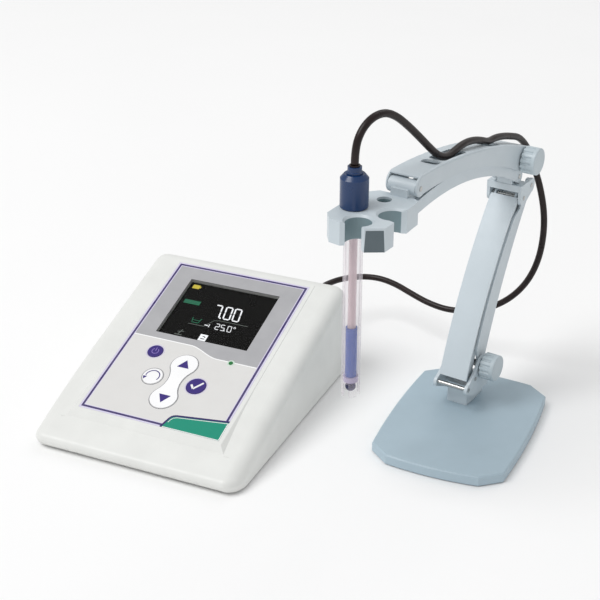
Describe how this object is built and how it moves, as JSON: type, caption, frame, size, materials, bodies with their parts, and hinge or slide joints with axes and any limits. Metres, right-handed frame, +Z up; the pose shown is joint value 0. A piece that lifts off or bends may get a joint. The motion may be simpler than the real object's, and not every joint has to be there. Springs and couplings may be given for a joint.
{
  "type": "benchtop ph meter",
  "caption": "Benchtop pH meter with wedge console, weighted stand with jointed electrode arm, glass electrode and cable.",
  "frame": {"origin": "on the bench, under the middle of the box around everything but the cable and its plug", "axes": "+X to the right along the bench, the longest extent, from the console to the stand; +Y to the rear; +Z up"},
  "size_m": [0.3158, 0.2779, 0.256],
  "materials": {
    "shell": "fine satin texture",
    "label": "printed polyester",
    "window": "clear acrylic",
    "lcd": "backlit glass",
    "lens": "clear tinted",
    "key_violet": "silicone",
    "key_white": "silicone",
    "dome": "plain",
    "board": "solder mask",
    "nickel": "nickel plated",
    "jack_black": "moulded",
    "rubber_feet": "matt",
    "plate": "fine texture",
    "weight": "as cast",
    "arm": "fine texture",
    "knob": "fluted",
    "pin": "ground",
    "cap": "moulded",
    "cable": "smooth sheath",
    "shaft": "clear",
    "gel": "gel",
    "wire": "drawn",
    "junction": "porous ceramic",
    "bulb": "thin membrane"
  },
  "bodies": {
    "root": {"upper_housing": "shell", "lower_housing": "shell", "control_label": "label", "display_window": "window", "lcd_module": "lcd", "led_lens": "lens", "dome_switches": "dome", "main_board": "board", "electrode_jack": "nickel", "temperature_jack": "jack_black", "power_jack": "jack_black", "console_feet": "rubber_feet", "housing_screws": "dome", "base_plate": "plate", "base_weight": "weight", "base_feet": "rubber_feet", "swivel_washer": "dome", "plug_body": "nickel", "plug_boot": "cable", "cable_console_run": "cable"},
    "power_button": {"power_key": "key_violet"},
    "escape_button": {"escape_key": "key_white"},
    "confirm_button": {"confirm_key": "key_violet"},
    "arrow_button": {"arrow_rocker": "key_white"},
    "plug_ring": {"plug_collar": "nickel"},
    "turret": {"turret": "arm", "base_pins": "pin", "swivel_bolt": "dome", "base_clamp_nut": "dome", "cable_low_swing": "cable"},
    "base_clamp": {"base_knob": "knob", "base_clamp_screw": "dome"},
    "lower_arm": {"rear_arm_link": "arm", "cable_back_hang": "cable"},
    "front_link": {"front_arm_link": "arm"},
    "knuckle": {"elbow_knuckle": "arm", "elbow_pins": "pin", "cable_elbow_turn": "cable"},
    "elbow_clamp": {"elbow_knob": "knob", "elbow_clamp_screw": "dome"},
    "upper_arm": {"upper_arm_channel": "arm", "elbow_clamp_nut": "dome", "cable_arm_run": "cable"},
    "strut": {"upper_arm_strut": "arm"},
    "head": {"probe_head": "arm", "head_pins": "pin", "cable_head_drop": "cable"},
    "electrode": {"probe_cap": "cap", "cap_grommet": "cable", "probe_shaft": "shaft", "inner_tube": "shaft", "reference_gel": "gel", "sensor_wire": "wire", "reference_junction": "junction", "glass_bulb": "bulb", "cable_probe_rise": "cable"}
  },
  "joints": [
    {"name": "turret_swivel", "type": "hinge", "parent": "root", "child": "turret", "pos_m": [0.1008, 0.0541, 0], "axis": [0, 0, 1], "range_deg": [-15, 75], "deforming": ["cable_console_run", "cable_low_swing"]},
    {"name": "lower_arm_tilt", "type": "hinge", "parent": "turret", "child": "lower_arm", "pos_m": [0.1008, 0.0541, 0.0375], "axis": [0.9877, -0.1564, 0], "range_deg": [-10, 16], "deforming": ["cable_back_hang"]},
    {"name": "front_link_tilt", "type": "hinge", "parent": "turret", "child": "front_link", "pos_m": [0.09892, 0.04225, 0.0315], "axis": [0.9877, -0.1564, 0], "range_deg": [-10, 16]},
    {"name": "knuckle_level", "type": "hinge", "parent": "lower_arm", "child": "knuckle", "pos_m": [0.11034, 0.11435, 0.155], "axis": [0.9877, -0.1564, 0], "range_deg": [-16, 10]},
    {"name": "upper_arm_tilt", "type": "hinge", "parent": "knuckle", "child": "upper_arm", "pos_m": [0.10847, 0.1025, 0.178], "axis": [0.9877, -0.1564, 0], "range_deg": [-16, 16], "deforming": ["cable_elbow_turn", "cable_arm_run"]},
    {"name": "strut_tilt", "type": "hinge", "parent": "knuckle", "child": "strut", "pos_m": [0.10823, 0.10101, 0.165], "axis": [0.9877, -0.1564, 0], "range_deg": [-16, 16]},
    {"name": "head_level", "type": "hinge", "parent": "upper_arm", "child": "head", "pos_m": [0.08437, -0.04961, 0.2065], "axis": [0.9877, -0.1564, 0], "range_deg": [-16, 16], "deforming": ["cable_head_drop"]},
    {"name": "electrode_lift", "type": "slide", "parent": "head", "child": "electrode", "axis": [0, 0, 1], "range_m": [0, 0.03], "deforming": ["cable_probe_rise"]},
    {"name": "base_knob_turn", "type": "hinge", "parent": "turret", "child": "base_clamp", "pos_m": [0.1008, 0.0541, 0.0375], "axis": [0.9877, -0.1564, 0], "range_deg": [0, 360]},
    {"name": "elbow_knob_turn", "type": "hinge", "parent": "knuckle", "child": "elbow_clamp", "pos_m": [0.10847, 0.1025, 0.178], "axis": [0.9877, -0.1564, 0], "range_deg": [0, 360]},
    {"name": "power_key_press", "type": "slide", "parent": "root", "child": "power_button", "axis": [0, -0.299, 0.9542], "range_m": [-0.0005, 0], "stiffness_N_per_m": 600},
    {"name": "escape_key_press", "type": "slide", "parent": "root", "child": "escape_button", "axis": [0, -0.299, 0.9542], "range_m": [-0.0005, 0], "stiffness_N_per_m": 600},
    {"name": "confirm_key_press", "type": "slide", "parent": "root", "child": "confirm_button", "axis": [0, -0.299, 0.9542], "range_m": [-0.0005, 0], "stiffness_N_per_m": 600},
    {"name": "arrow_rock", "type": "hinge", "parent": "root", "child": "arrow_button", "pos_m": [-0.0779, -0.05702, 0.03457], "axis": [1, 0, 0], "range_deg": [-1, 1], "stiffness_Nm_per_rad": 0.5},
    {"name": "plug_collar_turn", "type": "hinge", "parent": "root", "child": "plug_ring", "pos_m": [-0.0419, 0.08359, 0.038], "axis": [0, 1, 0], "range_deg": [0, 90]}
  ],
  "couplings": [
    {"joint": "front_link_tilt", "follows": "lower_arm_tilt", "ratio": 1},
    {"joint": "knuckle_level", "follows": "lower_arm_tilt", "ratio": -1},
    {"joint": "strut_tilt", "follows": "upper_arm_tilt", "ratio": 1},
    {"joint": "head_level", "follows": "upper_arm_tilt", "ratio": -1}
  ]
}
